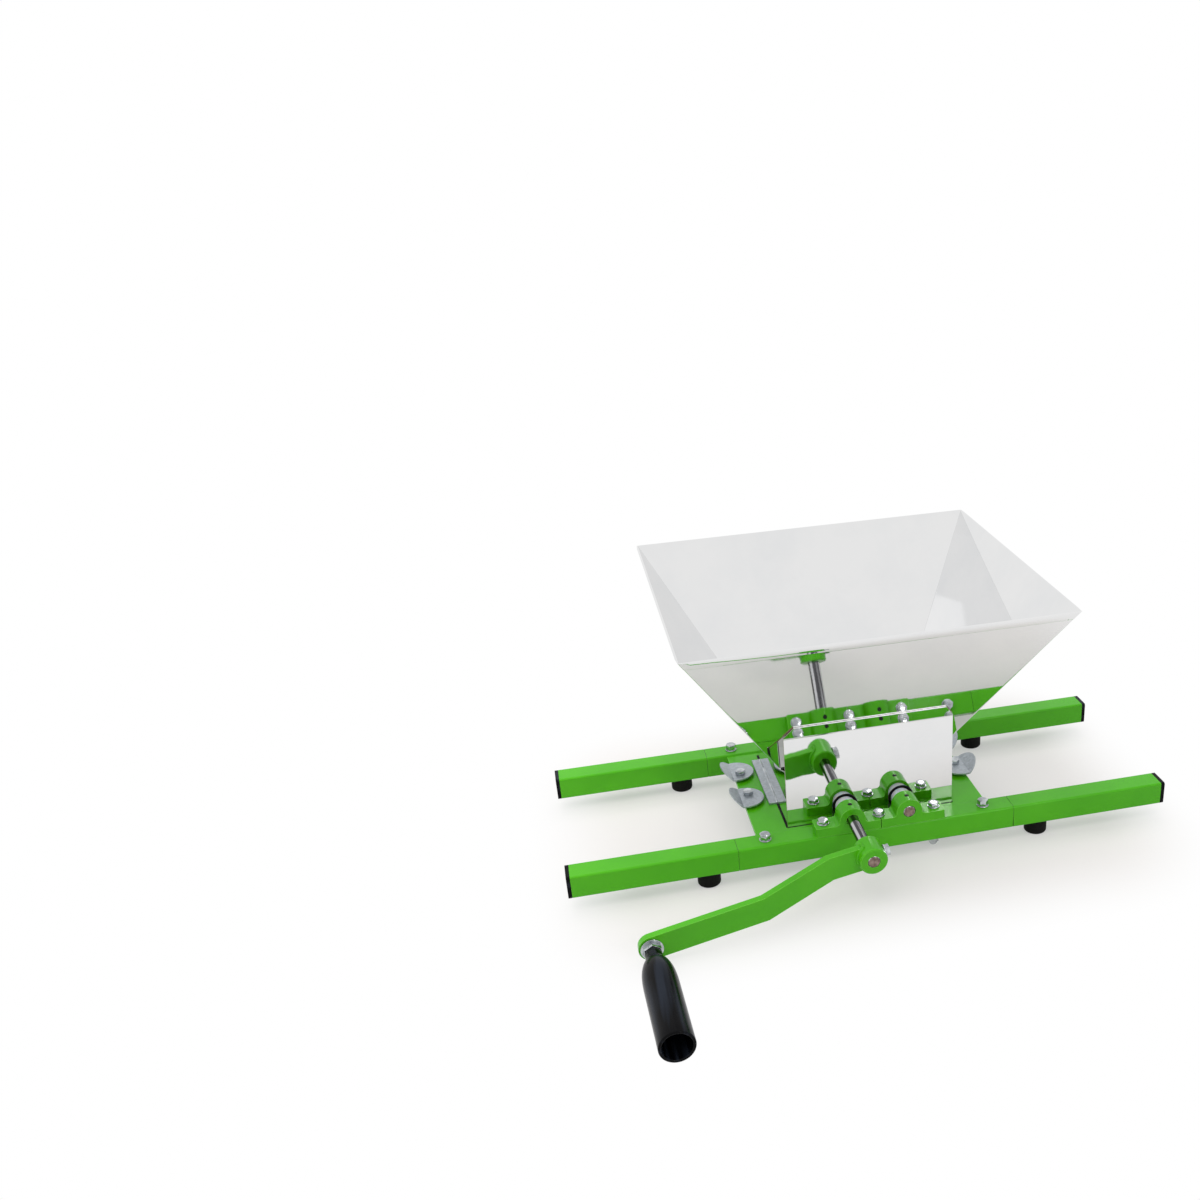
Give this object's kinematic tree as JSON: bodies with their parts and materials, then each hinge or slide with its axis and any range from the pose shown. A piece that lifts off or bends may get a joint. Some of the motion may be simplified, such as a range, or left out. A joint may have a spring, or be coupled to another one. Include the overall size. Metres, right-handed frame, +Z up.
{
  "type": "apple scratter",
  "caption": "Hand cranked apple scratter: square steel hopper over two geared star rollers, on square tube rails with bolted arms and a cranked handle.",
  "frame": {"origin": "on the standing surface, below the middle of the machine's box with the crank at rest", "axes": "+X along the rails to the right, +Y to the rear, away from the crank, +Z up"},
  "size_m": [0.508, 0.4398, 0.213],
  "materials": {
    "green_paint": "glossy green powder coat",
    "stainless": "mirror bright stainless sheet",
    "bright_steel": "ground steel bar",
    "zinc": "zinc plated steel",
    "black_rubber": "matt black rubber",
    "black_plastic": "satin black moulded plastic",
    "white_nylon": "natural white nylon"
  },
  "bodies": {
    "root": {"front_rail": "green_paint", "rear_rail": "green_paint", "arm_front_left": "green_paint", "arm_front_right": "green_paint", "arm_rear_left": "green_paint", "arm_rear_right": "green_paint", "arm_stubs": "zinc", "arm_bolts": "zinc", "arm_washers": "zinc", "end_caps": "black_plastic", "feet": "black_rubber", "base_plate": "green_paint", "front_plate": "stainless", "inner_plate": "stainless", "rear_plate": "stainless", "left_wall": "stainless", "right_wall": "stainless", "hopper": "stainless", "scraper_left": "zinc", "scraper_right": "zinc", "block_front_left": "green_paint", "block_front_right": "green_paint", "block_rear_left": "green_paint", "block_rear_right": "green_paint", "bushes": "white_nylon", "block_bolts": "zinc", "block_washers": "zinc", "block_nuts": "zinc", "latch_spacers": "zinc", "latch_screws": "zinc", "latch_nuts": "zinc"},
    "drive": {"drive_shaft": "bright_steel", "drive_core": "zinc", "drive_stars": "stainless", "drive_gear": "zinc", "drive_pins": "zinc", "crank_hub": "green_paint", "crank_arm": "green_paint", "hub_screw": "zinc", "hub_washer": "zinc", "handle_bolt": "zinc", "handle_nut": "zinc", "handle_washer": "zinc"},
    "grip_body": {"grip": "black_plastic"},
    "driven": {"driven_shaft": "bright_steel", "driven_core": "zinc", "driven_stars": "stainless", "driven_gear": "zinc", "driven_pins": "zinc"},
    "front_left_latch": {"latch_front_left": "zinc"},
    "rear_left_latch": {"latch_rear_left": "zinc"},
    "front_right_latch": {"latch_front_right": "zinc"},
    "rear_right_latch": {"latch_rear_right": "zinc"}
  },
  "joints": [
    {"name": "crank_turn", "type": "hinge", "parent": "root", "child": "drive", "pos_m": [-0.022, 0.06378, 0.0435], "axis": [0, 1, 0], "continuous": true},
    {"name": "roller_turn", "type": "hinge", "parent": "root", "child": "driven", "pos_m": [0.026, 0.06378, 0.0435], "axis": [0, 1, 0], "continuous": true},
    {"name": "grip_spin", "type": "hinge", "parent": "drive", "child": "grip_body", "pos_m": [-0.19695, -0.13359, 0.01337], "axis": [-0.0344, 0.9994, -0.0059], "continuous": true},
    {"name": "front_left_swivel", "type": "hinge", "parent": "root", "child": "front_left_latch", "pos_m": [-0.0932, 0.05658, 0.03355], "axis": [0, 0, 1], "range_deg": [-60, 85]},
    {"name": "rear_left_swivel", "type": "hinge", "parent": "root", "child": "rear_left_latch", "pos_m": [-0.0932, 0.09318, 0.03355], "axis": [0, 0, -1], "range_deg": [-60, 85]},
    {"name": "front_right_swivel", "type": "hinge", "parent": "root", "child": "front_right_latch", "pos_m": [0.0932, 0.05658, 0.03355], "axis": [0, 0, -1], "range_deg": [-60, 85]},
    {"name": "rear_right_swivel", "type": "hinge", "parent": "root", "child": "rear_right_latch", "pos_m": [0.0932, 0.09318, 0.03355], "axis": [0, 0, 1], "range_deg": [-60, 85]}
  ],
  "couplings": [
    {"joint": "roller_turn", "follows": "crank_turn", "ratio": -1}
  ]
}
